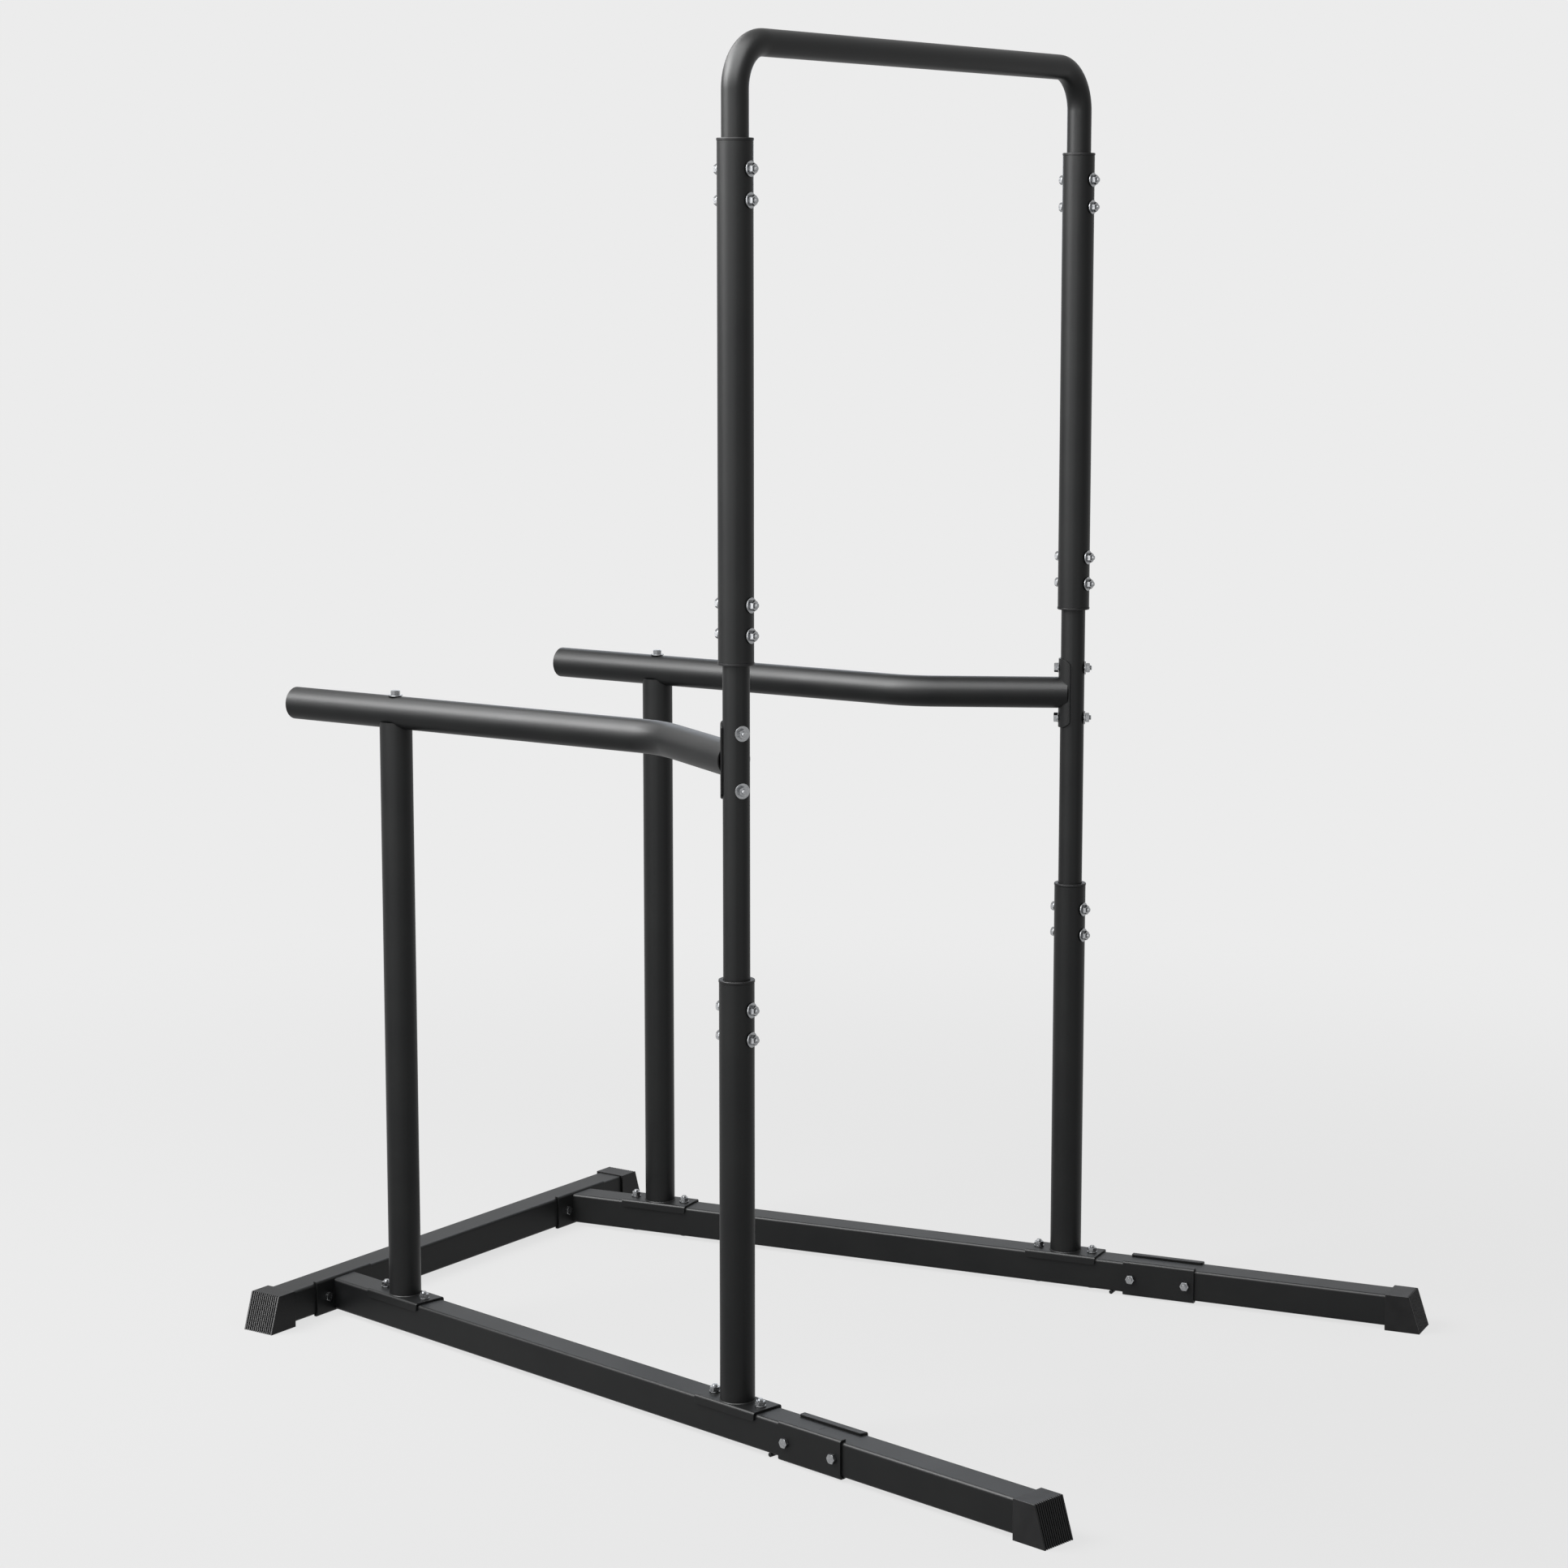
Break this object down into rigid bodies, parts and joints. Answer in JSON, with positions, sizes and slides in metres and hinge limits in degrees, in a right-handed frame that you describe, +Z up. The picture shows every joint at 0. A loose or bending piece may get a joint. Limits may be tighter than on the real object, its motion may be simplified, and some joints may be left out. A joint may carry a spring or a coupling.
{
  "type": "dip station",
  "caption": "Free-standing dip station with pull-up bar: bolted steel tube frame, two parallel dip bars behind tall uprights, splayed square-tube base on ribbed feet.",
  "frame": {"origin": "on the floor, below the middle of the whole frame", "axes": "+Z up; +X to the right hand of someone who faces the rear cross bar from the open front; +Y from the open front towards the rear cross bar"},
  "size_m": [1.1926, 1.531, 1.9733],
  "materials": {
    "powder_coat": "satin black powder coat on steel tube",
    "foot_rubber": "moulded, satin black, ribbed on the end face",
    "bush_plastic": "moulded black plastic, satin",
    "zinc": "bright zinc plated fasteners"
  },
  "bodies": {
    "root": {"pull_up_bar": "powder_coat", "rear_cross_bar": "powder_coat", "side_rail_right": "powder_coat", "front_leg_right": "powder_coat", "lower_upright_right": "powder_coat", "middle_upright_right": "powder_coat", "upper_upright_right": "powder_coat", "dip_bar_right": "powder_coat", "dip_post_right": "powder_coat", "splice_plate_outer_right": "powder_coat", "splice_plate_inner_right": "powder_coat", "front_foot_right": "foot_rubber", "rear_foot_right": "foot_rubber", "lower_bush_right": "bush_plastic", "middle_bush_right": "bush_plastic", "upper_bush_right": "bush_plastic", "upper_joint_bolt_right_1": "zinc", "upper_joint_bolt_right_2": "zinc", "middle_joint_bolt_right_1": "zinc", "middle_joint_bolt_right_2": "zinc", "lower_joint_bolt_right_1": "zinc", "lower_joint_bolt_right_2": "zinc", "splice_bolt_right_1": "zinc", "splice_bolt_right_2": "zinc", "upright_saddle_bolt_right_1": "zinc", "upright_saddle_bolt_right_2": "zinc", "post_saddle_bolt_right_1": "zinc", "post_saddle_bolt_right_2": "zinc", "bracket_bolt_right_1": "zinc", "bracket_bolt_right_2": "zinc", "dip_post_bolt_right": "zinc", "side_rail_left": "powder_coat", "front_leg_left": "powder_coat", "lower_upright_left": "powder_coat", "middle_upright_left": "powder_coat", "upper_upright_left": "powder_coat", "dip_bar_left": "powder_coat", "dip_post_left": "powder_coat", "splice_plate_outer_left": "powder_coat", "splice_plate_inner_left": "powder_coat", "front_foot_left": "foot_rubber", "rear_foot_left": "foot_rubber", "lower_bush_left": "bush_plastic", "middle_bush_left": "bush_plastic", "upper_bush_left": "bush_plastic", "upper_joint_bolt_left_1": "zinc", "upper_joint_bolt_left_2": "zinc", "middle_joint_bolt_left_1": "zinc", "middle_joint_bolt_left_2": "zinc", "lower_joint_bolt_left_1": "zinc", "lower_joint_bolt_left_2": "zinc", "splice_bolt_left_1": "zinc", "splice_bolt_left_2": "zinc", "upright_saddle_bolt_left_1": "zinc", "upright_saddle_bolt_left_2": "zinc", "post_saddle_bolt_left_1": "zinc", "post_saddle_bolt_left_2": "zinc", "bracket_bolt_left_1": "zinc", "bracket_bolt_left_2": "zinc", "dip_post_bolt_left": "zinc"}
  },
  "joints": []
}
